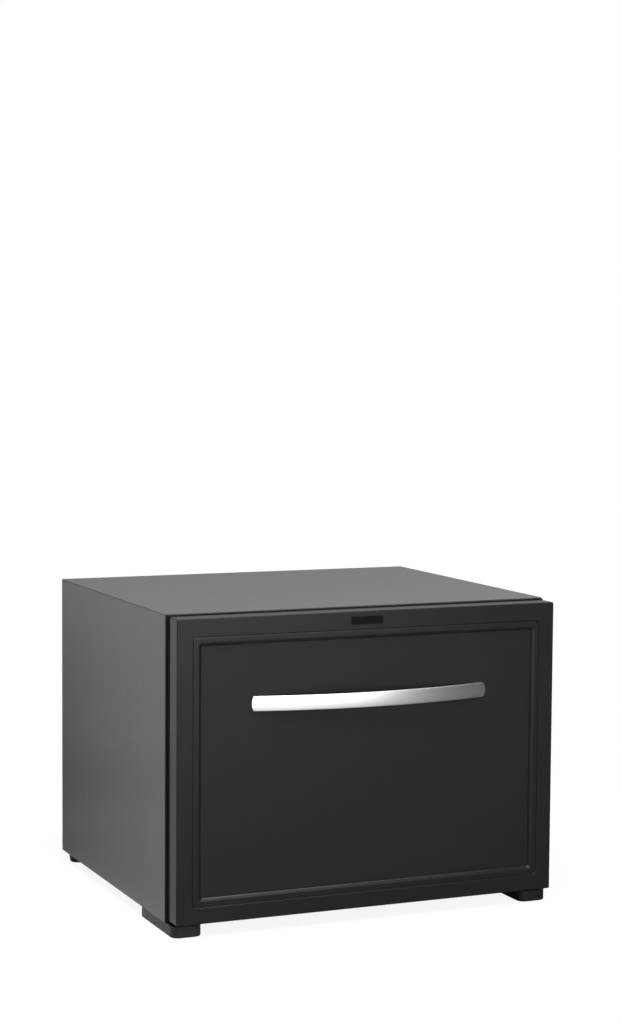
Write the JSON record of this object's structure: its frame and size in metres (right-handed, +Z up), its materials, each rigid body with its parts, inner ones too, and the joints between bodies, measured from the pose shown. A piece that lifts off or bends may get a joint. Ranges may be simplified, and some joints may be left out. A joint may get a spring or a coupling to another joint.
{
  "type": "hotel minibar cabinet",
  "caption": "Low drawer-type minibar cabinet: insulated steel body on feet, sealed drawer front with bowed bar handle, bin on telescopic runners, cooling unit in an open rear bay.",
  "frame": {"origin": "on the floor, under the middle of the whole object's width and length", "axes": "+X to the right seen from the front, +Y to the back, +Z up"},
  "size_m": [0.5706, 0.5259, 0.4326],
  "materials": {
    "cabinet_steel": "dark grey fine-textured powder coat, satin",
    "zinc_sheet": "dull galvanised sheet",
    "frame_plastic": "black moulded plastic, fine grain",
    "bezel_plastic": "black moulded plastic, satin",
    "panel_paint": "black satin paint",
    "liner_plastic": "pale grey vacuum-formed plastic",
    "foam": "rigid foam, cut cells",
    "seal_rubber": "black soft seal",
    "handle_metal": "satin, brushed lengthwise",
    "badge_blank": "glossy black, bare",
    "foot_plastic": "black moulded plastic",
    "runner_steel": "bright zinc plate",
    "ball_steel": "polished",
    "bin_plastic": "grey moulded plastic",
    "divider_plastic": "smoke grey plastic",
    "housing_plastic": "pale grey moulded plastic",
    "lens_plastic": "frosted white",
    "knob_plastic": "dark grey plastic",
    "aluminium_fins": "mill finish",
    "unit_tube_paint": "black oven paint",
    "boiler_jacket": "dull bright jacket",
    "control_plastic": "black plastic",
    "screw_zinc": "zinc plate"
  },
  "bodies": {
    "cabinet": {"side_panel_left": "cabinet_steel", "side_panel_right": "cabinet_steel", "top_panel": "cabinet_steel", "bottom_pan": "cabinet_steel", "back_panel": "zinc_sheet", "front_trim": "frame_plastic", "inner_liner": "liner_plastic", "insulation_foam": "foam", "front_foot_left": "foot_plastic", "front_foot_right": "foot_plastic", "rear_foot_left": "foot_plastic", "rear_foot_right": "foot_plastic", "runner_outer_left": "runner_steel", "runner_outer_right": "runner_steel", "control_housing": "housing_plastic", "lamp_lens": "lens_plastic", "evaporator_fins": "aluminium_fins", "evaporator_pipe": "unit_tube_paint", "absorber_vessel": "unit_tube_paint", "absorber_coil": "unit_tube_paint", "boiler_can": "boiler_jacket", "condenser_tube": "unit_tube_paint", "condenser_fins": "aluminium_fins", "return_tube": "unit_tube_paint", "unit_bracket_lower": "zinc_sheet", "unit_bracket_upper": "zinc_sheet", "boiler_bracket": "zinc_sheet", "control_box": "control_plastic", "control_box_lid": "control_plastic", "cord_gland": "control_plastic", "runner_screws": "screw_zinc", "back_screws": "screw_zinc"},
    "drawer": {"front_frame": "frame_plastic", "panel_bezel": "bezel_plastic", "front_panel": "panel_paint", "front_foam": "foam", "front_inner_liner": "liner_plastic", "gasket": "seal_rubber", "handle_bar": "handle_metal", "handle_screws": "screw_zinc", "badge_plate": "badge_blank", "drawer_carrier_left": "zinc_sheet", "drawer_carrier_right": "zinc_sheet", "drawer_bin": "bin_plastic", "bin_divider_1": "divider_plastic", "bin_divider_2": "divider_plastic", "runner_inner_left": "runner_steel", "runner_inner_right": "runner_steel", "carrier_screws": "screw_zinc"},
    "runner_mid_left": {"runner_mid_left": "runner_steel"},
    "runner_mid_right": {"runner_mid_right": "runner_steel"},
    "cages_outer": {"cages_outer": "runner_steel", "balls_outer": "ball_steel"},
    "cages_inner": {"cages_inner": "runner_steel", "balls_inner": "ball_steel"},
    "thermostat_knob": {"thermostat_knob": "knob_plastic"}
  },
  "joints": [
    {"name": "drawer_slide", "type": "slide", "parent": "cabinet", "child": "drawer", "axis": [0, -1, 0], "range_m": [0, 0.3]},
    {"name": "mid_slide_left", "type": "slide", "parent": "cabinet", "child": "runner_mid_left", "axis": [0, -1, 0], "range_m": [0, 0.15]},
    {"name": "mid_slide_right", "type": "slide", "parent": "cabinet", "child": "runner_mid_right", "axis": [0, -1, 0], "range_m": [0, 0.15]},
    {"name": "outer_cage_slide", "type": "slide", "parent": "cabinet", "child": "cages_outer", "axis": [0, -1, 0], "range_m": [0, 0.075]},
    {"name": "inner_cage_slide", "type": "slide", "parent": "cabinet", "child": "cages_inner", "axis": [0, -1, 0], "range_m": [0, 0.225]},
    {"name": "thermostat_turn", "type": "hinge", "parent": "cabinet", "child": "thermostat_knob", "pos_m": [0.1901, -0.02045, 0.379], "axis": [0, 0, 1], "range_deg": [0, 270]}
  ],
  "couplings": [
    {"joint": "mid_slide_left", "follows": "drawer_slide", "ratio": 0.5},
    {"joint": "mid_slide_right", "follows": "drawer_slide", "ratio": 0.5},
    {"joint": "outer_cage_slide", "follows": "drawer_slide", "ratio": 0.25},
    {"joint": "inner_cage_slide", "follows": "drawer_slide", "ratio": 0.75}
  ]
}
